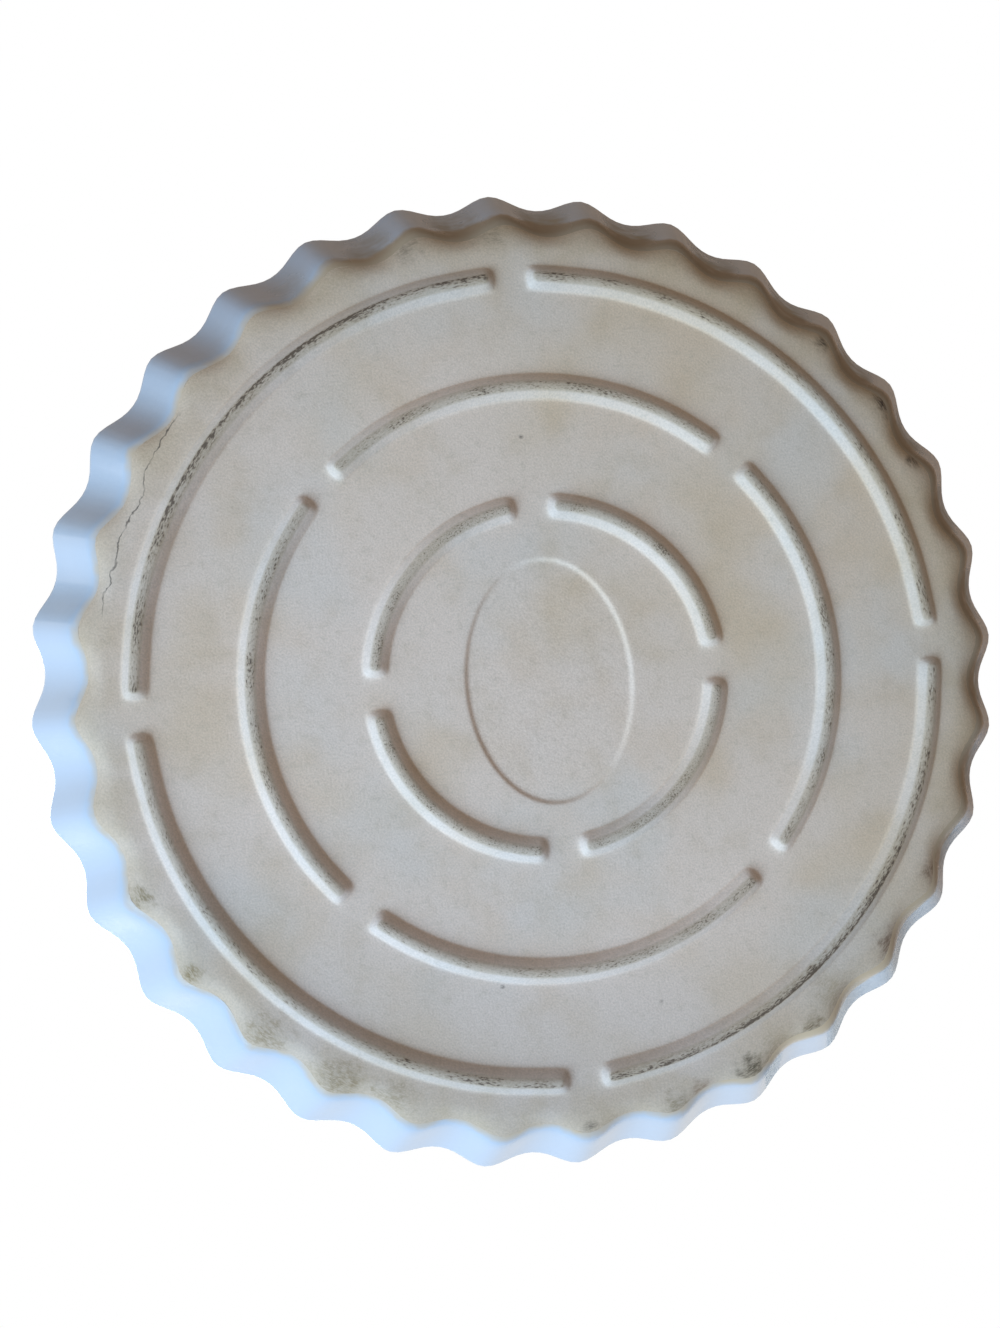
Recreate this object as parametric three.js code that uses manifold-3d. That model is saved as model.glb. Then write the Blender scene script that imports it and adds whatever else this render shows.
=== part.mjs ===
// Round fluted baking dish of vitrified clay. It stands on three broken foot rings under a bare,
// flat base, and a glossy glaze covers its inside, its rim and its outer wall down to the base.
// Millimetres, +Z up. The origin is under the middle of the dish, on the plane its feet stand on.
import * as THREE from 'three';
import { mergeVertices } from 'three/addons/utils/BufferGeometryUtils.js';
import Module from 'manifold-3d';

// The whole dish, measured over its glazed surfaces.
const rimDiameter = 280;
const dishHeight = 32;
const wallThickness = 5.6;
const floorThickness = 6;
const glazeThickness = 0.4;
const insideCornerRadius = 9;

// The flutes are one even wave round the wall, measured from crest to hollow.
const fluteCount = 32;
const fluteDepth = 4.6;

// The bare base: its scalloped edge turns up into the wall, and the glaze starts at that edge.
const baseDiameter = 249.4;
const baseTurnWidth = 7.7;
const baseTurnHeight = 2;
const glazeLip = 0.6;

// The feet: three rings, each broken into four low half-round arcs with a worn crest.
const footHeight = 2.2;
const footWidth = 7.3;
const footLand = 1.6;
const footGap = 7.4;
const footToeDip = 0.3;
const footNoseLength = 2.6;
const outerRingInset = 7.3;
const outerToMiddleRing = 29.2;
const middleToInnerRing = 32.1;
const arcsPerRing = 4;

// The shallow oval panel in the middle of the base.
const panelLength = 66;
const panelWidth = 45.5;
const panelDepth = 0.7;

// Fineness of the curved surfaces.
const columnsPerFlute = 8;
const cornerSteps = 2;
const footFlankSteps = 3;
const footRowSpacing = 12;
const footNoseAngles = [80, 60, 30];
const panelCurveSteps = 24;
const cutOverrun = 1;

const columns = fluteCount * columnsPerFlute;
const wasm = await Module();
wasm.setup();

// One row of points round the dish: a mean radius, a height and how far the flutes swing there.
function row(radius, height, swing = fluteDepth / 2) {
  return { radius, height, swing };
}

function rowPoint({ radius, height, swing }, column) {
  const angle = (2 * Math.PI * column) / columns;
  const fluted = radius + swing * Math.cos(fluteCount * angle);
  return new THREE.Vector3(fluted * Math.cos(angle), fluted * Math.sin(angle), height);
}

// The rim is a half round on the wall's centre line.
const rimRound = wallThickness / 2;
const rimCentre = new THREE.Vector2(rimDiameter / 2 - fluteDepth / 2 - rimRound, dishHeight - rimRound);
const baseEdge = new THREE.Vector2(baseDiameter / 2 - fluteDepth / 2, footHeight + baseTurnHeight);

// The outer wall runs straight from the edge of the base and meets the rim's half round as a tangent.
const baseToRim = rimCentre.clone().sub(baseEdge);
const wallAngle = baseToRim.angle() - Math.asin(rimRound / baseToRim.length());
const outwardAngle = wallAngle - Math.PI / 2;
const upWall = new THREE.Vector2(Math.cos(wallAngle), Math.sin(wallAngle));
const outOfWall = new THREE.Vector2(Math.cos(outwardAngle), Math.sin(outwardAngle));
const rimOutermost = 0;
const rimTop = Math.PI / 2;

function rimRow(round, angle) {
  return row(rimCentre.x + round * Math.cos(angle), rimCentre.y + round * Math.sin(angle));
}

// Rows up the outer wall and over the rim to its top, at a depth under the glazed surface.
function outerRows(depth, start) {
  const foot = baseEdge.clone().addScaledVector(outOfWall, -depth).addScaledVector(upWall, start);
  const round = rimRound - depth;
  return [
    row(foot.x, foot.y),
    rimRow(round, outwardAngle),
    rimRow(round, rimOutermost),
    rimRow(round, (rimOutermost + rimTop) / 2),
    rimRow(round, rimTop),
  ];
}

// The corner between floor and inner wall is an arc that touches both, and the flutes fade out
// round it, so the floor's edge is a plain circle.
const floorTop = footHeight + floorThickness;
const innerTangent = rimCentre.clone().addScaledVector(outOfWall, -rimRound);
const cornerFromTangent = outOfWall.clone().multiplyScalar(-insideCornerRadius);
const alongWall = (floorTop + insideCornerRadius - innerTangent.y - cornerFromTangent.y) / upWall.y;
const cornerCentre = innerTangent.clone().add(cornerFromTangent).addScaledVector(upWall, alongWall);

// Rows from the rim's top down the inner wall to the middle of the floor, at a depth under the glaze.
function innerRows(depth) {
  const rows = [rimRow(rimRound - depth, outwardAngle + Math.PI)];
  const radius = insideCornerRadius + depth;
  for (let step = 0; step <= cornerSteps; step += 1) {
    const share = step / cornerSteps;
    const angle = outwardAngle + (-Math.PI / 2 - outwardAngle) * share;
    const swing = (fluteDepth / 2) * (1 - share);
    rows.push(row(cornerCentre.x + radius * Math.cos(angle), cornerCentre.y + radius * Math.sin(angle), swing));
  }
  rows.push(row(0, floorTop - depth, 0));
  return rows;
}

// Rows under the dish: the flat base, then a quarter turn up to the edge where the flutes begin.
const flatRadius = baseEdge.x - baseTurnWidth;

function baseRows() {
  const half = Math.PI / 4;
  return [
    row(0, footHeight, 0),
    row(flatRadius, footHeight, 0),
    row(
      flatRadius + baseTurnWidth * Math.sin(half),
      footHeight + baseTurnHeight * (1 - Math.cos(half)),
      (fluteDepth / 2) * Math.sin(half),
    ),
  ];
}

// Closed body from its rows. Each four-sided patch is split across its shorter diagonal, so two
// bodies that share rows touch face to face.
function bodyFromRows(rows, closed) {
  const points = [];
  const first = rows.map((entry) => {
    const start = points.length;
    const count = entry.radius === 0 ? 1 : columns;
    for (let column = 0; column < count; column += 1) points.push(rowPoint(entry, column));
    return { start, count };
  });
  const at = (ring, column) => ring.start + (column % ring.count);
  const triangles = [];
  const lastRow = closed ? rows.length : rows.length - 1;
  for (let index = 0; index < lastRow; index += 1) {
    const lower = first[index];
    const upper = first[(index + 1) % rows.length];
    for (let column = 0; column < columns; column += 1) {
      const a = at(lower, column);
      const b = at(lower, column + 1);
      const c = at(upper, column + 1);
      const d = at(upper, column);
      if (a === b) {
        triangles.push(a, c, d);
      } else if (c === d) {
        triangles.push(a, b, c);
      } else if (points[a].distanceTo(points[c]) < points[b].distanceTo(points[d])) {
        triangles.push(a, b, c, a, c, d);
      } else {
        triangles.push(a, b, d, b, c, d);
      }
    }
  }
  return geometryFrom(points, triangles);
}

function geometryFrom(points, triangles) {
  const geometry = new THREE.BufferGeometry();
  geometry.setAttribute('position', new THREE.Float32BufferAttribute(points.flatMap((p) => p.toArray()), 3));
  geometry.setIndex(triangles);
  return geometry;
}

function toSolid(geometry) {
  const bare = geometry.clone();
  bare.deleteAttribute('normal');
  bare.deleteAttribute('uv');
  const merged = mergeVertices(bare);
  return new wasm.Manifold(new wasm.Mesh({
    numProp: 3,
    vertProperties: Float32Array.from(merged.attributes.position.array),
    triVerts: Uint32Array.from(merged.index.array),
  }));
}

function toGeometry(solid) {
  const mesh = solid.getMesh();
  const geometry = new THREE.BufferGeometry();
  geometry.setAttribute('position', new THREE.BufferAttribute(Float32Array.from(mesh.vertProperties), 3));
  geometry.setIndex(new THREE.BufferAttribute(Uint32Array.from(mesh.triVerts), 1));
  return geometry;
}

// Half of a foot's section from the edge of its worn crest to its toe: how far out, and how high.
function footFlank() {
  const flank = [];
  for (let step = 0; step <= footFlankSteps; step += 1) {
    const angle = (Math.PI / 2) * (step / footFlankSteps);
    const out = footLand / 2 + (footWidth / 2 - footLand / 2) * Math.sin(angle);
    flank.push([out, Math.cos(angle)]);
  }
  return flank;
}

// One foot arc, rooted in the floor, with its toes dipped just under the base's surface. An odd
// number of steps puts a flat facet in its middle, and its ends are blunt noses, drawn in over a
// few rows.
function footArc(ringRadius, middleAngle) {
  const halfAngle = Math.PI / arcsPerRing - footGap / 2 / ringRadius;
  const noseAngle = footNoseLength / ringRadius;
  const straightHalf = halfAngle - noseAngle;
  const steps = 2 * Math.round((straightHalf * ringRadius) / footRowSpacing) + 1;
  const rows = [];
  for (const degrees of footNoseAngles) {
    const turn = THREE.MathUtils.degToRad(degrees);
    rows.push([-straightHalf - noseAngle * Math.sin(turn), Math.sqrt(Math.cos(turn))]);
  }
  for (let step = 0; step <= steps; step += 1) rows.push([straightHalf * ((2 * step) / steps - 1), 1]);
  for (const [angle, size] of rows.slice(0, footNoseAngles.length).reverse()) rows.push([-angle, size]);

  const flank = footFlank();
  const section = [...flank.slice().reverse().map(([out, up]) => [-out, up]), ...flank];
  const root = footHeight + floorThickness / 2;
  const points = [];
  for (const [angle, size] of rows) {
    const place = (out, height) => {
      const radius = ringRadius + out * size;
      const turned = middleAngle + angle;
      points.push(new THREE.Vector3(radius * Math.cos(turned), radius * Math.sin(turned), height));
    };
    place(-footWidth / 2, root);
    section.forEach(([out, up]) => place(out, (footHeight + footToeDip) * (1 - up * size)));
    place(footWidth / 2, root);
  }

  const side = section.length + 2;
  const triangles = [];
  for (let index = 0; index < rows.length - 1; index += 1) {
    for (let corner = 0; corner < side; corner += 1) {
      const a = index * side + corner;
      const b = index * side + ((corner + 1) % side);
      triangles.push(a, b + side, b, a, a + side, b + side);
    }
  }
  const last = (rows.length - 1) * side;
  for (let corner = 1; corner < side - 1; corner += 1) {
    triangles.push(0, corner, corner + 1);
    triangles.push(last, last + corner + 1, last + corner);
  }
  return geometryFrom(points, triangles);
}

// The broken rings stand in turn: the gaps of the middle ring lie between those of its neighbours.
const outerRing = flatRadius - outerRingInset;
const middleRing = outerRing - outerToMiddleRing;
const innerRing = middleRing - middleToInnerRing;

function footArcs() {
  const arcAngle = (2 * Math.PI) / arcsPerRing;
  const rings = [
    { radius: outerRing, firstMiddle: arcAngle / 2 },
    { radius: middleRing, firstMiddle: 0 },
    { radius: innerRing, firstMiddle: arcAngle / 2 },
  ];
  const arcs = [];
  for (const ring of rings) {
    for (let arc = 0; arc < arcsPerRing; arc += 1) {
      arcs.push(footArc(ring.radius, ring.firstMiddle + arc * arcAngle));
    }
  }
  return arcs;
}

function ovalPanel() {
  const oval = new THREE.Shape().absellipse(0, 0, panelWidth / 2, panelLength / 2, 0, 2 * Math.PI, false, 0);
  const depth = panelDepth + cutOverrun;
  const cut = new THREE.ExtrudeGeometry(oval, { depth, bevelEnabled: false, curveSegments: panelCurveSteps });
  return cut.translate(0, 0, footHeight - cutOverrun);
}

// The pressed and fired clay: floor, fluted wall, rim and feet in one piece, with the panel sunk in.
function clayBody() {
  const rows = [...baseRows(), ...outerRows(glazeThickness, 0), ...innerRows(glazeThickness)];
  let solid = toSolid(bodyFromRows(rows, false)).subtract(toSolid(ovalPanel()));
  for (const arc of footArcs()) solid = solid.add(toSolid(arc));
  return toGeometry(solid);
}

// The coat on the outer wall, from its lip at the edge of the base to the top of the rim.
function outsideGlaze() {
  const underside = outerRows(glazeThickness, 0).reverse();
  return bodyFromRows([...outerRows(0, glazeLip), ...underside], true);
}

// The coat over the floor and the inner wall, up to the top of the rim.
function insideGlaze() {
  const surface = [rimRow(rimRound, rimTop), ...innerRows(0)];
  const underside = [rimRow(rimRound - glazeThickness, rimTop), ...innerRows(glazeThickness)].reverse();
  return bodyFromRows([...underside, ...surface], false);
}

const bareClay = new THREE.MeshStandardMaterial({ color: '#c9c5ba', roughness: 0.85, metalness: 0 });
const whiteGlaze = new THREE.MeshStandardMaterial({ color: '#eef1f2', roughness: 0.12, metalness: 0 });

function piece(name, geometry, material) {
  const mesh = new THREE.Mesh(geometry, material);
  mesh.name = name;
  return mesh;
}

const bakingDish = new THREE.Group();
bakingDish.add(piece('clay_body', clayBody(), bareClay));
bakingDish.add(piece('outside_glaze', outsideGlaze(), whiteGlaze));
bakingDish.add(piece('inside_glaze', insideGlaze(), whiteGlaze));

export default bakingDish;
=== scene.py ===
import math
import random

import bmesh
import bpy
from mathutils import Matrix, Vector


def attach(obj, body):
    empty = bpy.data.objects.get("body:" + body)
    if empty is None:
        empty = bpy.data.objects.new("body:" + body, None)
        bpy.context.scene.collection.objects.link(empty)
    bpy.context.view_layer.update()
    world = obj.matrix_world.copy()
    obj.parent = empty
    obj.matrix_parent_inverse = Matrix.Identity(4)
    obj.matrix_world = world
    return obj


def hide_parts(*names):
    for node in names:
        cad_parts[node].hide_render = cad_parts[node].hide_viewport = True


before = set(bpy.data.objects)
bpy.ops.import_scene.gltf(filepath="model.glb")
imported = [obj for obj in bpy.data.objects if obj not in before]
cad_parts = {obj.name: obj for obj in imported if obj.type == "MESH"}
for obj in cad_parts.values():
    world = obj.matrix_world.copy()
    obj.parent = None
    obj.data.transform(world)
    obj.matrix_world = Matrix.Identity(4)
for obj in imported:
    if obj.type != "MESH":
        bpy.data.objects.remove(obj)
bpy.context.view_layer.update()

# Camera
# The dish is photographed from below and a little to one side, with its +X to the right and
# its +Y down the picture, so that the camera looks up at the bare base.
MM = 0.001
camera_place = Vector((-54.054, -2.524, -327.149)) * MM
camera_turn = (-178.9248, 7.1183, 5.441)
camera_lens = 33.822
camera_film = 36
nearest_seen = 10

camera_data = bpy.data.cameras.new("camera_below_the_dish")
camera_data.lens = camera_lens
camera_data.sensor_width = camera_film
camera_data.clip_start = nearest_seen * MM
camera = bpy.data.objects.new("camera_below_the_dish", camera_data)
camera.location = camera_place
camera.rotation_euler = [math.radians(angle) for angle in camera_turn]
bpy.context.scene.collection.objects.link(camera)
bpy.context.scene.camera = camera

# Clay body
# One pressing of white clay that is fired until it is dense and holds no water. Its floor, fluted
# wall, rim and feet are one piece. The base is left bare, and the rest lies under the glaze.
rim_diameter = 280
dish_height = 32
wall_thickness = 5.6
floor_thickness = 6
glaze_thickness = 0.4
inside_corner_radius = 9
flute_count = 32
flute_depth = 4.6
base_diameter = 249.4
base_turn_width = 7.7
base_turn_height = 2
foot_height = 2.2
foot_width = 7.3
foot_gap = 7.4
gaps_per_ring = 4
foot_rings = {"outer": (107.4, 0), "middle": (78.2, 45), "inner": (46.1, 0)}
panel_length = 66
panel_width = 45.5
panel_depth = 0.7

columns_per_flute = 3
columns = flute_count * columns_per_flute
column_angle = 360 / columns
smoothing_levels = 2

# The share that the smoothing leaves of a wave of three columns, and of a half round of 30 degree
# steps.
wave_kept = 0.531
round_kept = 0.96
rim_step = 30

# The rim is a half round on the wall's centre line, and the wall meets it as a tangent. A point of
# the dish's section has its distance from the axis and its height.
rim_round = wall_thickness / 2
rim_centre = Vector((rim_diameter / 2 - flute_depth / 2 - rim_round, dish_height - rim_round))
base_edge = Vector((base_diameter / 2 - flute_depth / 2, foot_height + base_turn_height))
base_to_rim = rim_centre - base_edge
wall_angle = math.atan2(base_to_rim.y, base_to_rim.x) - math.asin(rim_round / base_to_rim.length)
up_wall = Vector((math.cos(wall_angle), math.sin(wall_angle)))
out_of_wall = Vector((up_wall.y, -up_wall.x))
outward_angle = math.degrees(math.atan2(out_of_wall.y, out_of_wall.x))
wall_length = base_to_rim.dot(up_wall)
flat_radius = base_edge.x - base_turn_width
floor_top = foot_height + floor_thickness
full_swing = flute_depth / 2


def towards(angle):
    """The direction at an angle in degrees, from the first axis to the second."""
    return Vector((math.cos(math.radians(angle)), math.sin(math.radians(angle))))


def on_wall(outward, along):
    """A point by the wall: how far out of its glazed surface, and how far up from the base."""
    return base_edge + out_of_wall * outward + up_wall * along


# The base turns up into the wall in one arc, and the flutes grow out of it. The glaze starts
# after six tenths of the arc. Each row has its share of the arc and of the flutes' swing.
glaze_start = 0.6
turn_shares = {0.2: 0.38, 0.4: 0.68, glaze_start: 0.88, 0.82: 1}
wall_under_glaze = on_wall(-glaze_thickness, 0)
turn_corner = wall_under_glaze.x - (wall_under_glaze.y - foot_height) * up_wall.x / up_wall.y
turn_radius = (turn_corner - flat_radius) / math.tan(wall_angle / 2)


def on_turn(share):
    """A point on the arc between the flat base and the wall."""
    angle = wall_angle * share
    outward = flat_radius + turn_radius * math.sin(angle)
    return Vector((outward, foot_height + turn_radius * (1 - math.cos(angle))))


# The centre of the arc between the floor and the inner wall, which touches them both.
inner_surface = rim_centre - out_of_wall * rim_round
corner_centre = inner_surface - out_of_wall * inside_corner_radius
drop_to_corner = (floor_top + inside_corner_radius - corner_centre.y) / up_wall.y
corner_centre += up_wall * drop_to_corner

# Where the other rows lie, in millimetres: up the outer wall from the base, below the rim, on the
# floor beside its corner, and out from the axis. The rim has seven rows, and the corner four.
low_row = 5.2
row_below_rim = 1.6
row_by_corner = 4
floor_row = 60
rim_rows = 7
corner_steps = 3


def clay_rows():
    """Mean radius, height and flute swing of each row, from the base's turn to the floor."""
    rows = [(*on_turn(share), full_swing * swing) for share, swing in turn_shares.items()]
    for along in (low_row, wall_length / 2, wall_length - row_below_rim):
        rows.append((*on_wall(-glaze_thickness, along), full_swing))
    rim_control = (rim_round - glaze_thickness) / round_kept
    for step in range(rim_rows):
        point = rim_centre + towards(outward_angle + rim_step * step) * rim_control
        rows.append((*point, full_swing))
    inner_clay = glaze_thickness - wall_thickness
    corner_along = (floor_top + inside_corner_radius - base_edge.y) / up_wall.y
    for along in (wall_length - row_below_rim, (wall_length + corner_along) / 2):
        rows.append((*on_wall(inner_clay, along), full_swing))
    for step in range(corner_steps + 1):
        share = step / corner_steps
        angle = outward_angle + (-90 - outward_angle) * share
        point = corner_centre + towards(angle) * (inside_corner_radius + glaze_thickness)
        rows.append((*point, full_swing * (1 - share)))
    clay_floor = floor_top - glaze_thickness
    return rows + [(corner_centre.x - row_by_corner, clay_floor, 0), (floor_row, clay_floor, 0)]


def polar(point):
    """Distance from the dish's axis in mm, angle round it in degrees and height in mm."""
    angle = math.degrees(math.atan2(point.y, point.x)) % 360
    return math.hypot(point.x, point.y) / MM, angle, point.z / MM


def turned_from(angle, middle):
    """How far an angle lies past a middle one, from -180 to 180 degrees."""
    return (angle - middle + 180) % 360 - 180


def from_gap(angle, first_gap):
    """How far an angle lies past the nearest of a ring's gaps, in degrees."""
    return turned_from(gaps_per_ring * turned_from(angle, first_gap), 0) / gaps_per_ring


def pick(piece, kind, wanted):
    """Selects the vertices or faces of a piece whose radius, angle and height suit."""
    bpy.ops.mesh.select_mode(type=kind)
    bpy.ops.mesh.select_all(action="DESELECT")
    mesh = bmesh.from_edit_mesh(piece.data)
    for part in mesh.verts if kind == "VERT" else mesh.faces:
        middle = part.co if kind == "VERT" else part.calc_center_median()
        if wanted(*polar(middle)):
            part.select_set(True)
    mesh.select_flush_mode()
    bmesh.update_edit_mesh(piece.data)


def pick_indices(piece, indices):
    """Selects the vertices of a piece that have these indices."""
    bpy.ops.mesh.select_mode(type="VERT")
    bpy.ops.mesh.select_all(action="DESELECT")
    mesh = bmesh.from_edit_mesh(piece.data)
    for vertex in mesh.verts:
        vertex.select_set(vertex.index in indices)
    mesh.select_flush_mode()
    bmesh.update_edit_mesh(piece.data)


def inset(thickness, depth=0):
    """Insets the selected faces, and pushes them out of the clay or into it."""
    bpy.ops.mesh.inset(thickness=thickness * MM, depth=depth * MM, use_even_offset=True)


bpy.ops.object.select_all(action="DESELECT")
bpy.ops.mesh.primitive_circle_add(
    vertices=columns,
    radius=flat_radius * MM,
    fill_type="NGON",
    location=(0, 0, foot_height * MM),
)
clay = bpy.context.object
clay.name = "clay_body_detailed"
bpy.ops.object.transform_apply(location=True, rotation=False, scale=False)
bpy.ops.object.mode_set(mode="EDIT")
bpy.ops.mesh.flip_normals()

# The base is inset circle by circle, with a row close to each side of every foot ring and one
# between two rings.
rows_between_rings = [92.5, 62]
row_beside_foot = 0.7
half_foot = foot_width / 2
base_radii = list(rows_between_rings)
for ring_radius, _ in foot_rings.values():
    base_radii += [ring_radius + half_foot + row_beside_foot, ring_radius + half_foot]
    base_radii += [ring_radius - half_foot, ring_radius - half_foot - row_beside_foot]
panel_border = 1.3
oval_length = panel_length / 2 + panel_border
oval_width = panel_width / 2 + panel_border
base_radii.append(oval_length)
bpy.ops.mesh.select_mode(type="FACE")
bpy.ops.mesh.select_all(action="SELECT")
last_radius = flat_radius
for radius in sorted(base_radii, reverse=True):
    inset(last_radius - radius)
    last_radius = radius

# The oval panel: the last circle becomes an oval, and its soft edge steps down into the clay. Each
# inset has its width and its rise.
oval_shift = (0.5, 0.9)
soft_step = 0.08
panel_steps = [
    (0.6, 0),
    (0.7, -soft_step),
    (0.7, 2 * soft_step - panel_depth),
    (0.7, -soft_step),
    (0.8, 0),
    (9, 0),
]
bpy.ops.transform.resize(value=(oval_width / oval_length, 1, 1), center_override=(0, 0, 0))
bpy.ops.transform.translate(value=(*[shift * MM for shift in oval_shift], 0))
for thickness, depth in panel_steps:
    inset(thickness, depth)

# Each foot ring is broken by four gaps of one width. The columns beside a gap are turned: the
# first to the foot's end, and the second to 4.2 mm behind it. Where that brings the second closer
# to the third, the third is turned to half way between the second and the fourth.
foot_end_length = 4.2
radius_margin = 0.2
angle_margin = 0.25
for ring_radius, first_gap in foot_rings.values():
    gap_angle = math.degrees(foot_gap / 2 / ring_radius)
    end_angle = gap_angle + math.degrees(foot_end_length / ring_radius)
    third_angle = 3 * column_angle
    if end_angle > 2 * column_angle:
        third_angle = (end_angle + 4 * column_angle) / 2
    reach = half_foot + row_beside_foot + radius_margin
    moves = [(column_angle, gap_angle), (2 * column_angle, end_angle), (3 * column_angle, third_angle)]
    for was, now in moves:
        for side in (1, -1):
            pick(
                clay,
                "VERT",
                lambda radius, angle, height: abs(radius - ring_radius) < reach
                and abs(from_gap(angle, first_gap + side * was)) < angle_margin,
            )
            bpy.ops.transform.rotate(
                value=-side * math.radians(now - was), orient_axis="Z", center_override=(0, 0, 0)
            )

# The arcs between the gaps are pushed out of the base in three insets, each with its width and
# its rise. Their sides rise at about 40 degrees to a narrow round crest.
foot_steps = [(0.55, 0.52), (1.1, 0.92), (1.15, 0.775)]
middle_margin = 1
for ring_radius, first_gap in foot_rings.values():
    gap_angle = math.degrees(foot_gap / 2 / ring_radius)
    pick(
        clay,
        "FACE",
        lambda radius, angle, height: abs(radius - ring_radius) < middle_margin
        and abs(from_gap(angle, first_gap)) > gap_angle,
    )
    for thickness, depth in foot_steps:
        inset(thickness, depth)

# The wall is drawn up from the edge of the base row by row, over the rim and down to the floor.
# On each row every third column is a flute's crest, and the two between go in half as far.
edge_margin = 0.5
pick(clay, "VERT", lambda radius, angle, height: radius > flat_radius - edge_margin)
crest_was, other_was, height_was = flat_radius, flat_radius, foot_height
for mean, height, swing in clay_rows():
    bpy.ops.mesh.extrude_edges_move(
        TRANSFORM_OT_translate={"value": (0, 0, (height - height_was) * MM)}
    )
    row, crests = set(), set()
    for vertex in bmesh.from_edit_mesh(clay.data).verts:
        if vertex.select:
            row.add(vertex.index)
            if round(polar(vertex.co)[1] / column_angle) % columns_per_flute == 0:
                crests.add(vertex.index)
    wave = swing / wave_kept
    crest, other = mean + wave, mean - wave / 2
    for group, now, was in ((crests, crest, crest_was), (row - crests, other, other_was)):
        pick_indices(clay, group)
        bpy.ops.transform.resize(value=(now / was, now / was, 1), center_override=(0, 0, 0))
    pick_indices(clay, row)
    crest_was, other_was, height_was = crest, other, height
bpy.ops.mesh.edge_face_add()
bpy.ops.mesh.select_all(action="SELECT")
bpy.ops.mesh.normals_make_consistent(inside=False)
bpy.ops.object.mode_set(mode="OBJECT")

clay_cage = clay.data.copy()


def smooth(piece):
    """Rounds a cage into the finished mesh."""
    bpy.ops.object.select_all(action="DESELECT")
    piece.select_set(True)
    bpy.context.view_layer.objects.active = piece
    rounding = piece.modifiers.new("rounding", "SUBSURF")
    rounding.levels = smoothing_levels
    rounding.render_levels = smoothing_levels
    bpy.ops.object.modifier_apply(modifier=rounding.name)
    bpy.ops.object.shade_smooth()


smooth(clay)


def linear(hex_colour):
    """An sRGB colour such as #C9C3B8 as the linear values that the shader takes."""
    shares = [int(hex_colour[start : start + 2], 16) / 255 for start in (1, 3, 5)]
    return (*[s / 12.92 if s <= 0.04045 else ((s + 0.055) / 1.055) ** 2.4 for s in shares], 1)


def add_node(tree, kind, inputs, **settings):
    """Adds a node with its settings, sets or links its inputs, and gives its outputs."""
    node = tree.nodes.new(kind)
    for name, value in settings.items():
        setattr(node, name, value)
    for name, value in inputs.items():
        if isinstance(value, bpy.types.NodeSocket):
            tree.links.new(value, node.inputs[name])
        else:
            node.inputs[name].default_value = value
    return node.outputs


# Vitrified clay, pressed and fired bare: a dense matt body with a fine sandy skin. Its warm white
# has ochre and grey clouds, and baking has left brown stains at the edge of the base. Painted
# shade darkens the base towards the bottom of the picture, and a painted bluish light lies on the
# feet.
clay_finish = bpy.data.materials.new("vitrified_clay")
clay_finish.use_nodes = True
tree = clay_finish.node_tree
place = add_node(
    tree,
    "ShaderNodeVectorMath",
    {0: add_node(tree, "ShaderNodeTexCoord", {})["Object"], "Scale": 1 / MM},
    operation="SCALE",
)[0]
flat_place = add_node(
    tree, "ShaderNodeVectorMath", {0: place, 1: (1, 1, 0)}, operation="MULTIPLY"
)[0]
radius = add_node(tree, "ShaderNodeVectorMath", {0: flat_place}, operation="LENGTH")["Value"]
direction = add_node(tree, "ShaderNodeVectorMath", {0: flat_place}, operation="NORMALIZE")[0]
height = add_node(tree, "ShaderNodeSeparateXYZ", {0: place})["Z"]

# Patterns that lie anywhere on the clay, each with the size of its patches in millimetres, how
# fine its detail goes, and how far it is shifted.
clay_patterns = {}
for name, patch_size, detail, shift in (
    ("ochre_cloud", 38, 2.5, (0, 0, 0)),
    ("grey_cloud", 46, 2.5, (310, 70, 0)),
    ("peach_cloud", 24, 2, (90, 420, 0)),
    ("blotch", 9, 4, (0, 0, 0)),
    ("mottle", 2.6, 3, (0, 0, 0)),
    ("sand", 0.55, 2, (0, 0, 0)),
):
    shifted = add_node(tree, "ShaderNodeVectorMath", {0: place, 1: shift}, operation="ADD")[0]
    clay_patterns[name] = add_node(
        tree, "ShaderNodeTexNoise", {"Vector": shifted, "Scale": 1 / patch_size, "Detail": detail}
    )[0]

# How far out a point lies in millimetres, made ragged by the blotches, for the stains of the edge.
# They reach 1 mm further in at the upper right of the picture, where baking has stained it most.
baked_side = (0.75, -0.66, 0)
edge_raggedness = 16
towards_baked_side = add_node(
    tree, "ShaderNodeVectorMath", {0: direction, 1: baked_side}, operation="DOT_PRODUCT"
)["Value"]
ragged = add_node(
    tree,
    "ShaderNodeMath",
    {0: clay_patterns["blotch"], 1: edge_raggedness, 2: radius},
    operation="MULTIPLY_ADD",
)[0]
clay_patterns["edge"] = add_node(
    tree, "ShaderNodeMath", {0: towards_baked_side, 1: ragged}, operation="ADD"
)[0]

# The ochre clouds grow stronger outwards, and a wide one lies over the baked side.
ochre_growth = 0.0011
baked_radius = 115
clouds_in_baked = 1.4
clay_patterns["ochre_cloud"] = add_node(
    tree,
    "ShaderNodeMath",
    {0: radius, 1: ochre_growth, 2: clay_patterns["ochre_cloud"]},
    operation="MULTIPLY_ADD",
)[0]
baked_reach = add_node(tree, "ShaderNodeMath", {0: radius, 1: baked_radius}, operation="DIVIDE")[0]
baked_reach = add_node(
    tree, "ShaderNodeMath", {0: baked_reach, 1: towards_baked_side}, operation="MULTIPLY"
)[0]
clay_patterns["baked_cloud"] = add_node(
    tree,
    "ShaderNodeMath",
    {0: clay_patterns["ochre_cloud"], 1: clouds_in_baked, 2: baked_reach},
    operation="MULTIPLY_ADD",
)[0]

# Painted shade: the base is painted a little darker and greyer towards the bottom of the picture.
painted_shade_side = (-0.35, 0.94, 0)
clay_patterns["painted_shade_side"] = add_node(
    tree, "ShaderNodeVectorMath", {0: flat_place, 1: painted_shade_side}, operation="DOT_PRODUCT"
)["Value"]

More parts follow.
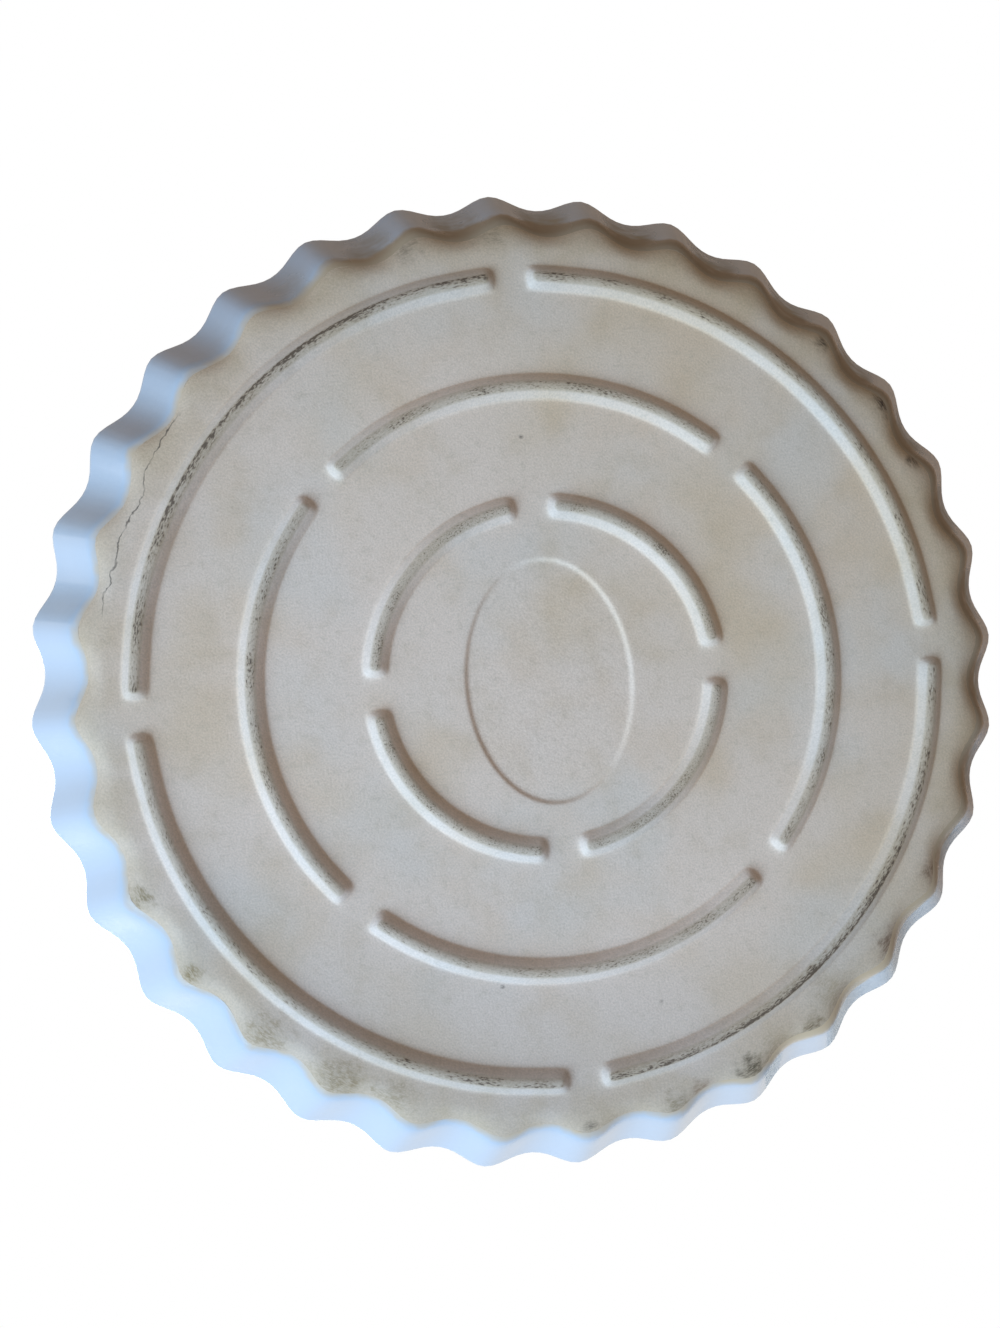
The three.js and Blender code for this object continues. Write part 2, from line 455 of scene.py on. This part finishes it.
# Metal marks on the crests of the feet are specks that run along the arcs, 1.2 mm long on the
# outer ring and 0.34 mm wide. The feet and their crests are told by the height over the plane
# that the dish stands on.
streak_length = 1.2
streak_width = 0.34
foot_side_heights = {"From Min": 2, "From Max": 1.6}
crest_heights = {"From Min": 0.7, "From Max": 0.15}
outer_ring_radius = foot_rings["outer"][0]
along = add_node(
    tree,
    "ShaderNodeVectorMath",
    {0: direction, "Scale": outer_ring_radius / streak_length},
    operation="SCALE",
)[0]
across = add_node(tree, "ShaderNodeMath", {0: radius, 1: streak_width}, operation="DIVIDE")[0]
across = add_node(tree, "ShaderNodeCombineXYZ", {"Z": across})[0]
streak_place = add_node(tree, "ShaderNodeVectorMath", {0: along, 1: across}, operation="ADD")[0]
streak = add_node(
    tree, "ShaderNodeTexNoise", {"Vector": streak_place, "Scale": 1, "Detail": 4}
)[0]
# The feet's mask, which also carries a painted bluish light on the feet.
clay_patterns["foot"] = add_node(
    tree, "ShaderNodeMapRange", {"Value": height, **foot_side_heights}
)[0]
clay_patterns["crest"] = add_node(
    tree,
    "ShaderNodeMapRange",
    {"Value": height, **crest_heights},
    interpolation_type="SMOOTHSTEP",
)[0]

# The marks are densest at the lower right and the upper left of the picture, on the outer half of
# the outer ring.
worn_axis = (*towards(60), 0)
worn_sharpness = 4
worn_gain = 0.25
outer_half_radii = {"From Min": outer_ring_radius - 0.6, "From Max": outer_ring_radius + 0.8}
blotches_in_worn = 0.5
along_axis = add_node(
    tree, "ShaderNodeVectorMath", {0: flat_place, 1: worn_axis}, operation="DOT_PRODUCT"
)["Value"]
axis_share = add_node(
    tree, "ShaderNodeMath", {0: along_axis, 1: outer_ring_radius}, operation="DIVIDE"
)[0]
axis_share = add_node(
    tree, "ShaderNodeMath", {0: axis_share, 1: worn_sharpness}, operation="POWER"
)[0]
outer_half = add_node(
    tree, "ShaderNodeMapRange", {"Value": radius, **outer_half_radii, "To Max": worn_gain}
)[0]
worn = add_node(
    tree,
    "ShaderNodeMath",
    {0: clay_patterns["blotch"], 1: blotches_in_worn, 2: streak},
    operation="MULTIPLY_ADD",
)[0]
worn = add_node(
    tree, "ShaderNodeMath", {0: axis_share, 1: outer_half, 2: worn}, operation="MULTIPLY_ADD"
)[0]
clay_patterns["worn_crest"] = add_node(
    tree, "ShaderNodeMath", {0: clay_patterns["crest"], 1: worn}, operation="MULTIPLY"
)[0]

# Each stain has its pattern, the values where it starts and where it is full, its strength and
# its colour. Two rows are not stains: a painted shade towards the bottom of the picture, and a
# painted bluish light on the feet.
clay_stains = [
    ("baked_cloud", 0.3, 1.7, 0.3, "#C9AC86"),
    ("ochre_cloud", 0.52, 0.8, 0.4, "#DCB488"),
    ("grey_cloud", 0.46, 0.7, 0.4, "#DDCFC6"),
    ("peach_cloud", 0.5, 0.74, 0.25, "#E0B894"),
    # painted shade, darker and greyer towards the bottom of the picture
    ("painted_shade_side", 40, 126, 0.25, "#9FA3AC"),
    ("blotch", 0.5, 0.75, 0.16, "#C0A079"),
    ("mottle", 0.5, 0.78, 0.2, "#B8A48C"),
    ("edge", 80, 128, 0.2, "#B9A08C"),
    ("edge", 114, 130, 0.38, "#BA9A72"),
    ("edge", 127, 140, 0.18, "#96784E"),
    # painted bluish light on the feet, as cool daylight catching them
    ("foot", 0, 1, 0.1, "#C9D0D8"),
    ("crest", 0, 1, 0.38, "#A68A64"),
    ("worn_crest", 0.68, 0.9, 0.4, "#86664A"),
    ("worn_crest", 0.85, 0.97, 0.75, "#4A3426"),
]
clay_colour = linear("#EFD1BE")
for pattern, starts_at, full_at, strength, stain_colour in clay_stains:
    share = add_node(
        tree,
        "ShaderNodeMapRange",
        {
            "Value": clay_patterns[pattern],
            "From Min": starts_at,
            "From Max": full_at,
            "To Max": strength,
        },
        interpolation_type="SMOOTHSTEP",
    )[0]
    clay_colour = add_node(
        tree,
        "ShaderNodeMix",
        {0: share, 6: clay_colour, 7: linear(stain_colour)},
        data_type="RGBA",
    )[2]

# Single marks on the base, with the radius and angle of the place, the size in mm, the strength
# and the colour. Most are rubbed patches and dark spots on the tongues between the flutes, and
# all are gritty and ragged.
clay_marks = [
    (120.0, 157.1, 4.6, 0.9, "#7A602F"),
    (120.3, 146.1, 4.2, 0.85, "#80642F"),
    (118.6, 134.0, 8.5, 0.6, "#866838"),
    (119.0, 123.0, 10.0, 0.65, "#80622F"),
    (117.5, 116.0, 7.0, 0.5, "#80622F"),
    (120.6, 67.7, 6.0, 0.95, "#4A3B22"),
    (120.8, 57.6, 4.4, 0.8, "#644A22"),
    (120.5, 78.4, 5.0, 0.65, "#735A2C"),
    (120.6, 43.1, 6.0, 0.75, "#6A4630"),
    (120.8, 32.0, 4.5, 0.6, "#6A4630"),
    (118.5, 74.6, 4.0, 0.5, "#7A4F35"),
    (118.0, 53.0, 9.0, 0.35, "#8A6C3E"),
    (118.5, 63.0, 7.0, 0.3, "#8A6C3E"),
    (121.0, 315.3, 3.2, 0.85, "#42342A"),
    (122.2, 326.8, 4.6, 0.95, "#3A2A22"),
    (120.2, 335.1, 3.0, 0.85, "#42342A"),
    (120.6, 90.0, 2.6, 0.75, "#42342A"),
    (120.0, 257.0, 5.0, 0.5, "#5A4A38"),
    (120.0, 268.0, 5.5, 0.5, "#5A4A38"),
    (92.5, 76.0, 1.0, 0.5, "#5A4E42"),
    (82.8, 103.9, 0.9, 0.85, "#3F3630"),
    (64.8, 269.0, 0.8, 0.7, "#3F3630"),
]
mark_raggedness = 1.8
mark_reach = 2
mark_middle = 0.8
grit_limits = {"From Min": 0.38, "From Max": 0.58, "To Min": 0.35}
grit = add_node(tree, "ShaderNodeMapRange", {"Value": streak, **grit_limits})[0]
for mark_radius, mark_angle, mark_size, strength, mark_colour in clay_marks:
    angle = math.radians(mark_angle)
    mark_place = (mark_radius * math.cos(angle), mark_radius * math.sin(angle), 0)
    distance = add_node(
        tree, "ShaderNodeVectorMath", {0: flat_place, 1: mark_place}, operation="DISTANCE"
    )["Value"]
    distance = add_node(
        tree,
        "ShaderNodeMath",
        {0: clay_patterns["mottle"], 1: mark_raggedness * mark_size, 2: distance},
        operation="MULTIPLY_ADD",
    )[0]
    share = add_node(
        tree,
        "ShaderNodeMapRange",
        {
            "Value": distance,
            "From Min": mark_reach * mark_size,
            "From Max": mark_middle * mark_size,
            "To Max": strength,
        },
        interpolation_type="SMOOTHSTEP",
    )[0]
    share = add_node(tree, "ShaderNodeMath", {0: share, 1: grit}, operation="MULTIPLY")[0]
    clay_colour = add_node(
        tree,
        "ShaderNodeMix",
        {0: share, 6: clay_colour, 7: linear(mark_colour)},
        data_type="RGBA",
    )[2]

# A broken hairline of soot wanders along the left edge of the base, within 15 degrees of its
# middle.
soot_middle = 207
soot_inner_radius = 110.4
soot_wander = 14
soot_wander_length = 11
soot_widths = {"From Min": 0.4, "From Max": 0.05}
soot_ends = {"From Min": math.cos(math.radians(15)), "From Max": math.cos(math.radians(11))}
soot_breaks = {"From Min": 0.35, "From Max": 0.6, "To Min": 0.25, "To Max": 0.8}
soot_line = add_node(
    tree, "ShaderNodeTexNoise", {"Vector": place, "Scale": 1 / soot_wander_length, "Detail": 4}
)[0]
soot_line = add_node(
    tree,
    "ShaderNodeMath",
    {0: soot_line, 1: soot_wander, 2: soot_inner_radius},
    operation="MULTIPLY_ADD",
)[0]
off_line = add_node(tree, "ShaderNodeMath", {0: radius, 1: soot_line}, operation="SUBTRACT")[0]
off_line = add_node(tree, "ShaderNodeMath", {0: off_line}, operation="ABSOLUTE")[0]
near_middle = add_node(
    tree,
    "ShaderNodeVectorMath",
    {0: direction, 1: (*towards(soot_middle), 0)},
    operation="DOT_PRODUCT",
)["Value"]
on_line = add_node(
    tree,
    "ShaderNodeMapRange",
    {"Value": off_line, **soot_widths},
    interpolation_type="SMOOTHSTEP",
)[0]
in_stretch = add_node(
    tree,
    "ShaderNodeMapRange",
    {"Value": near_middle, **soot_ends},
    interpolation_type="SMOOTHSTEP",
)[0]
broken = add_node(
    tree, "ShaderNodeMapRange", {"Value": clay_patterns["mottle"], **soot_breaks}
)[0]
share = on_line
for mask in (in_stretch, broken):
    share = add_node(tree, "ShaderNodeMath", {0: share, 1: mask}, operation="MULTIPLY")[0]
clay_colour = add_node(
    tree, "ShaderNodeMix", {0: share, 6: clay_colour, 7: linear("#3B322B")}, data_type="RGBA"
)[2]

# The sandy skin stands 0.05 mm high, over shallow dips of the pressing, and its grains differ a
# little in brightness.
sand_height = 0.05
dip_height = 0.06
grain_brightness = {"From Min": 0.25, "From Max": 0.75, "To Min": 0.88, "To Max": 1.1}
skin = add_node(
    tree, "ShaderNodeMath", {0: clay_patterns["sand"], 1: sand_height}, operation="MULTIPLY"
)[0]
skin = add_node(
    tree,
    "ShaderNodeMath",
    {0: clay_patterns["mottle"], 1: dip_height, 2: skin},
    operation="MULTIPLY_ADD",
)[0]
clay_bump = add_node(tree, "ShaderNodeBump", {"Height": skin, "Distance": MM, "Strength": 1})[0]
brightness = add_node(
    tree, "ShaderNodeMapRange", {"Value": clay_patterns["sand"], **grain_brightness}
)[0]
clay_colour = add_node(
    tree, "ShaderNodeVectorMath", {0: clay_colour, "Scale": brightness}, operation="SCALE"
)[0]
shader = tree.nodes["Principled BSDF"]
shader.inputs["Roughness"].default_value = 0.7
tree.links.new(clay_colour, shader.inputs["Base Color"])
tree.links.new(clay_bump, shader.inputs["Normal"])
clay.data.materials.clear()
clay.data.materials.append(clay_finish)

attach(clay, "root")
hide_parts("clay_body")

# Glaze coat
# A white glaze poured over the inside, the rim and the outer wall, and wiped off the base before
# the firing. It starts from the clay's own cage, and ends in a thin round lip at the base's edge.
glaze = bpy.data.objects.new("glaze_coat", clay_cage)
bpy.context.scene.collection.objects.link(glaze)
bpy.ops.object.select_all(action="DESELECT")
glaze.select_set(True)
bpy.context.view_layer.objects.active = glaze
bpy.ops.object.mode_set(mode="EDIT")

# All faces lower than the lip come off. Its scallops lie within 5 mm of their mean radius.
lip_place = on_turn(glaze_start)
lip_swing = 5
face_margin = 0.2
pick(
    glaze,
    "FACE",
    lambda radius, angle, height: height < lip_place.y + face_margin
    and radius < lip_place.x + lip_swing,
)
bpy.ops.mesh.delete(type="FACE")

# The edge wanders up and down the arc by up to 0.6 mm, as a wiped edge does. It starts a little
# inside the clay, so that the coat comes out of it with no step.
random.seed(11)
edge_wander = 0.6
edge_sink = 0.14
column_margin = 1
height_margin = 0.1
lip_angle = wall_angle * glaze_start
for column in range(columns):
    turned = column * column_angle
    pick(
        glaze,
        "VERT",
        lambda radius, angle, height: abs(turned_from(angle, turned)) < column_margin
        and abs(height - lip_place.y) < height_margin
        and abs(radius - lip_place.x) < lip_swing,
    )
    wander = random.uniform(-edge_wander, edge_wander)
    outward = wander * math.cos(lip_angle) - edge_sink * math.sin(lip_angle)
    upward = wander * math.sin(lip_angle) + edge_sink * math.cos(lip_angle)
    turn = math.radians(turned)
    shift = (outward * math.cos(turn), outward * math.sin(turn), upward)
    bpy.ops.transform.translate(value=[part * MM for part in shift])
bpy.ops.mesh.select_all(action="SELECT")
bpy.ops.object.mode_set(mode="OBJECT")

# The coat thins out to a tenth at the lip.
lip_share = 0.1
full_coat = glaze.vertex_groups.new(name="full_coat")
for vertex in glaze.data.vertices:
    radius, _, height = polar(vertex.co)
    at_lip = height < lip_place.y + edge_wander and radius < lip_place.x + lip_swing
    full_coat.add([vertex.index], lip_share if at_lip else 1, "REPLACE")
coat = glaze.modifiers.new("coat", "SOLIDIFY")
coat.thickness = glaze_thickness * MM
coat.offset = 1
coat.use_even_offset = True
coat.vertex_group = full_coat.name
bpy.ops.object.modifier_apply(modifier=coat.name)
smooth(glaze)

# Glossy white stoneware glaze, fired over the clay: clear gloss over white, and on the outer wall a
# greyer bluish white that is painted cool shade and daylight. Where it runs out at the lip the
# sandy clay shows through, and the baked side has thin brown stains, with painted shade that
# makes them deepest in the hollows.
glaze_finish = bpy.data.materials.new("white_gloss_glaze")
glaze_finish.use_nodes = True
tree = glaze_finish.node_tree
coordinates = add_node(tree, "ShaderNodeTexCoord", {})
place = add_node(
    tree, "ShaderNodeVectorMath", {0: coordinates["Object"], "Scale": 1 / MM}, operation="SCALE"
)[0]
height = add_node(tree, "ShaderNodeSeparateXYZ", {0: place})["Z"]
flat_place = add_node(
    tree, "ShaderNodeVectorMath", {0: place, 1: (1, 1, 0)}, operation="MULTIPLY"
)[0]
direction = add_node(tree, "ShaderNodeVectorMath", {0: flat_place}, operation="NORMALIZE")[0]
glaze_patterns = {}
for name, patch_size in (("wave", 11), ("blotch", 6)):
    glaze_patterns[name] = add_node(
        tree, "ShaderNodeTexNoise", {"Vector": place, "Scale": 1 / patch_size, "Detail": 2}
    )[0]

# The share of a flute's wave, from its crest at 1 to its hollow at -1.
axes = add_node(tree, "ShaderNodeSeparateXYZ", {0: flat_place})
turned = add_node(tree, "ShaderNodeMath", {0: axes["Y"], 1: axes["X"]}, operation="ARCTAN2")[0]
turned = add_node(tree, "ShaderNodeMath", {0: turned, 1: flute_count}, operation="MULTIPLY")[0]
crest_wave = add_node(tree, "ShaderNodeMath", {0: turned}, operation="COSINE")[0]

# How far a point faces out of the dish, and how far it lies towards the side that baking has
# stained most, which is also the side in shade, and towards the side where the glaze was wiped
# furthest up.
wiped_side = (0.94, -0.34, 0)
facing = {}
for name, vector, axis in (
    ("out", coordinates["Normal"], direction),
    ("baked_and_shaded", direction, baked_side),
    ("wiped", direction, wiped_side),
):
    facing[name] = add_node(
        tree, "ShaderNodeVectorMath", {0: vector, 1: axis}, operation="DOT_PRODUCT"
    )["Value"]

# Soft masks, each with its pattern and the values where it starts and where it is full.
glaze_masks = {}
for name, value, starts_at, full_at in (
    ("outside", facing["out"], 0.1, 0.8),
    ("in_hollow", crest_wave, 0.7, -0.8),
    ("baked_and_shaded", facing["baked_and_shaded"], -0.1, 0.7),
    ("wiped", facing["wiped"], -0.15, 0.35),
    ("low", height, 34, 12),
    ("stained", glaze_patterns["blotch"], 0.05, 0.75),
):
    glaze_masks[name] = add_node(
        tree,
        "ShaderNodeMapRange",
        {"Value": value, "From Min": starts_at, "From Max": full_at},
        interpolation_type="SMOOTHSTEP",
    )[0]

# What lies lower than the floor inside is outside too, also where it faces down.
under_floor_heights = {"From Min": 7.6, "From Max": 6.4}
under_floor = add_node(tree, "ShaderNodeMapRange", {"Value": height, **under_floor_heights})[0]
outside = add_node(
    tree, "ShaderNodeMath", {0: glaze_masks["outside"], 1: under_floor}, operation="MAXIMUM"
)[0]

# The glaze is thin near the lip, up to a height in millimetres that the blotches make ragged. It
# is thin further up on the baked side and the wiped side, there most of all in the hollows.
lip_raggedness = 3
baked_rise = 2
wiped_shifts = {"To Min": -2, "To Max": -5.5}
thin_heights = {"From Min": 4.9, "From Max": 1.7}
wiped_up = add_node(
    tree, "ShaderNodeMapRange", {"Value": glaze_masks["in_hollow"], **wiped_shifts}
)[0]
over_lip = height
for mask, shift in (
    (glaze_patterns["blotch"], -lip_raggedness),
    (glaze_masks["baked_and_shaded"], -baked_rise),
    (glaze_masks["wiped"], wiped_up),
):
    over_lip = add_node(
        tree, "ShaderNodeMath", {0: mask, 1: shift, 2: over_lip}, operation="MULTIPLY_ADD"
    )[0]
thin = add_node(
    tree,
    "ShaderNodeMapRange",
    {"Value": over_lip, **thin_heights},
    interpolation_type="SMOOTHSTEP",
)[0]
thin = add_node(tree, "ShaderNodeMath", {0: thin, 1: outside}, operation="MULTIPLY")[0]

# A thin brown film from baking lies low on the wall of the baked side, which is also the shaded
# side. Painted shade makes it deepest in the hollows and faint on the crests.
hollow_shade_shares = {"To Min": 0.12, "To Max": 0.95}
painted_hollow_shade = add_node(
    tree, "ShaderNodeMapRange", {"Value": glaze_masks["in_hollow"], **hollow_shade_shares}
)[0]
# The brown film together with its painted shade.
film_and_shade = glaze_masks["stained"]
for mask in (glaze_masks["baked_and_shaded"], glaze_masks["low"], outside, painted_hollow_shade):
    film_and_shade = add_node(tree, "ShaderNodeMath", {0: film_and_shade, 1: mask}, operation="MULTIPLY")[0]

inside_colour = linear("#E6E6E3")
lip_colour = add_node(
    tree,
    "ShaderNodeMix",
    {0: glaze_masks["baked_and_shaded"], 6: linear("#D8B898"), 7: linear("#AC937B")},
    data_type="RGBA",
)[2]
glaze_colour = inside_colour
# The outer wall is painted greyer and bluer than the inside, as painted cool shade and daylight.
for share, colour in ((outside, linear("#BDC3D0")), (film_and_shade, linear("#A58C68")), (thin, lip_colour)):
    glaze_colour = add_node(
        tree, "ShaderNodeMix", {0: share, 6: glaze_colour, 7: colour}, data_type="RGBA"
    )[2]

# Glaze under the brown film and its painted shade is duller, and thin glaze shines less.
roughness_by_film_and_shade = {"From Min": 0, "From Max": 0.6, "To Min": 0.16, "To Max": 0.5}
shine_by_thinness = {"To Min": 0.5, "To Max": 0.12}
wave_height = 0.12
roughness = add_node(tree, "ShaderNodeMapRange", {"Value": film_and_shade, **roughness_by_film_and_shade})[0]
shine = add_node(tree, "ShaderNodeMapRange", {"Value": thin, **shine_by_thinness})[0]
glaze_bump = add_node(
    tree,
    "ShaderNodeBump",
    {"Height": glaze_patterns["wave"], "Distance": wave_height * MM, "Strength": 1},
)[0]
shader = tree.nodes["Principled BSDF"]
tree.links.new(glaze_colour, shader.inputs["Base Color"])
tree.links.new(roughness, shader.inputs["Roughness"])
tree.links.new(shine, shader.inputs["Specular IOR Level"])
tree.links.new(glaze_bump, shader.inputs["Normal"])
glaze.data.materials.clear()
glaze.data.materials.append(glaze_finish)

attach(glaze, "root")
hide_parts("inside_glaze", "outside_glaze")

# Floor
# A pale studio table that the dish stands on. From above it shows with the dish's shadow, and from
# below it is open, so that the camera and the light under the dish see the bare base. From 0.3 to
# 1.2 m out it fades into the white behind it.
table_width = 8
table_fade = {"From Min": 0.3, "From Max": 1.2}
bpy.ops.object.select_all(action="DESELECT")
bpy.ops.mesh.primitive_plane_add(size=table_width, location=(0, 0, 0))
floor = bpy.context.object
floor.name = "studio_table"
table_finish = bpy.data.materials.new("matt_table_board")
table_finish.use_nodes = True
tree = table_finish.node_tree
path = add_node(tree, "ShaderNodeLightPath", {})
from_below = add_node(tree, "ShaderNodeNewGeometry", {})["Backfacing"]
place = add_node(tree, "ShaderNodeTexCoord", {})["Object"]
from_dish = add_node(tree, "ShaderNodeVectorMath", {0: place}, operation="LENGTH")["Value"]
faded = add_node(
    tree, "ShaderNodeMapRange", {"Value": from_dish, **table_fade}, interpolation_type="SMOOTHSTEP"
)[0]
seen = path["Is Camera Ray"]
for ray in ("Is Glossy Ray", "Is Transmission Ray"):
    seen = add_node(tree, "ShaderNodeMath", {0: seen, 1: path[ray]}, operation="MAXIMUM")[0]
for hidden in (from_below, faded):
    seen = add_node(
        tree, "ShaderNodeMath", {0: seen, 1: hidden}, operation="SUBTRACT", use_clamp=True
    )[0]
board = add_node(tree, "ShaderNodeBsdfDiffuse", {"Color": linear("#F4F3F0")})[0]
opening = add_node(tree, "ShaderNodeBsdfTransparent", {})[0]
table = add_node(tree, "ShaderNodeMixShader", {0: seen, 1: opening, 2: board})[0]
tree.nodes.remove(tree.nodes["Principled BSDF"])
tree.links.new(table, tree.nodes["Material Output"].inputs["Surface"])
floor.data.materials.append(table_finish)

# Studio
# A daylight lamp and a weak sky lamp, below and to the left, light the base and the wall, and a
# soft lamp above lights the inside. A warm card stands round the upper right. Only its
# reflection shows, in the glaze, and it grows paler towards its ends.
air_colour = (0.2, 0.18, 0.148, 1)
white_colour = (1, 1, 1, 1)
world = bpy.data.worlds.new("studio_air")
world.use_nodes = True
bpy.context.scene.world = world
tree = world.node_tree
tree.nodes.clear()
path = add_node(tree, "ShaderNodeLightPath", {})
seen = path["Is Camera Ray"]
for ray in ("Is Glossy Ray", "Is Transmission Ray"):
    seen = add_node(tree, "ShaderNodeMath", {0: seen, 1: path[ray]}, operation="MAXIMUM")[0]
air = add_node(tree, "ShaderNodeBackground", {"Color": air_colour})[0]
white = add_node(tree, "ShaderNodeBackground", {"Color": white_colour})[0]
surroundings = add_node(tree, "ShaderNodeMixShader", {0: seen, 1: air, 2: white})[0]
add_node(tree, "ShaderNodeOutputWorld", {"Surface": surroundings})


def soft_lamp(name, place, size, power, colour):
    """Adds a round lamp that faces the dish, with its place and size in metres."""
    data = bpy.data.lights.new(name, "AREA")
    data.shape = "DISK"
    data.size = size
    data.energy = power
    data.color = colour
    lamp = bpy.data.objects.new(name, data)
    lamp.location = place
    lamp.rotation_euler = (-Vector(place)).to_track_quat("-Z", "Y").to_euler()
    lamp.visible_camera = False
    bpy.context.scene.collection.objects.link(lamp)


soft_lamp("daylight_below_left", (-1.62, 1.51, -1.36), 2.0, 106, (0.46, 0.73, 1.0))
soft_lamp("sky_left", (-2.16, -0.66, -0.82), 1.6, 11, (0.6, 0.8, 1.0))
soft_lamp("soft_box_above", (-0.5, 0.4, 1.35), 1.0, 18, (0.94, 0.97, 1.0))

card_radius = 0.9
card_bottom = -0.7
card_height = 3.4
card_middle = 305
card_span = 210
card_steps = 21
bpy.ops.object.select_all(action="DESELECT")
bpy.ops.mesh.primitive_circle_add(vertices=360 * card_steps // card_span, radius=card_radius)
card = bpy.context.object
card.name = "warm_card"
bpy.ops.object.mode_set(mode="EDIT")
pick(
    card,
    "VERT",
    lambda radius, angle, height: abs(turned_from(angle, card_middle)) > card_span / 2,
)
bpy.ops.mesh.delete(type="VERT")
bpy.ops.mesh.select_all(action="SELECT")
bpy.ops.transform.translate(value=(0, 0, card_bottom))
bpy.ops.mesh.extrude_edges_move(TRANSFORM_OT_translate={"value": (0, 0, card_height)})
bpy.ops.object.mode_set(mode="OBJECT")
card.visible_camera = False
card.visible_diffuse = False
card.visible_shadow = False

# Matt felt, brown in the middle of the card and nearly white at its ends. It grows pale between
# two cosines of the angle from the middle.
pale_limits = {"From Min": 0.45, "From Max": -0.25}
card_finish = bpy.data.materials.new("warm_felt")
card_finish.use_nodes = True
tree = card_finish.node_tree
place = add_node(tree, "ShaderNodeTexCoord", {})["Object"]
place = add_node(tree, "ShaderNodeVectorMath", {0: place, 1: (1, 1, 0)}, operation="MULTIPLY")[0]
direction = add_node(tree, "ShaderNodeVectorMath", {0: place}, operation="NORMALIZE")[0]
from_middle = add_node(
    tree,
    "ShaderNodeVectorMath",
    {0: direction, 1: (*towards(card_middle), 0)},
    operation="DOT_PRODUCT",
)["Value"]
towards_end = add_node(
    tree,
    "ShaderNodeMapRange",
    {"Value": from_middle, **pale_limits},
    interpolation_type="SMOOTHSTEP",
)[0]
card_colour = add_node(
    tree,
    "ShaderNodeMix",
    {0: towards_end, 6: linear("#A48670"), 7: linear("#E9EAEA")},
    data_type="RGBA",
)[2]
shader = tree.nodes["Principled BSDF"]
tree.links.new(card_colour, shader.inputs["Base Color"])
shader.inputs["Roughness"].default_value = 0.95
shader.inputs["Specular IOR Level"].default_value = 0.1
card.data.materials.append(card_finish)

bpy.context.scene.view_settings.view_transform = "Standard"
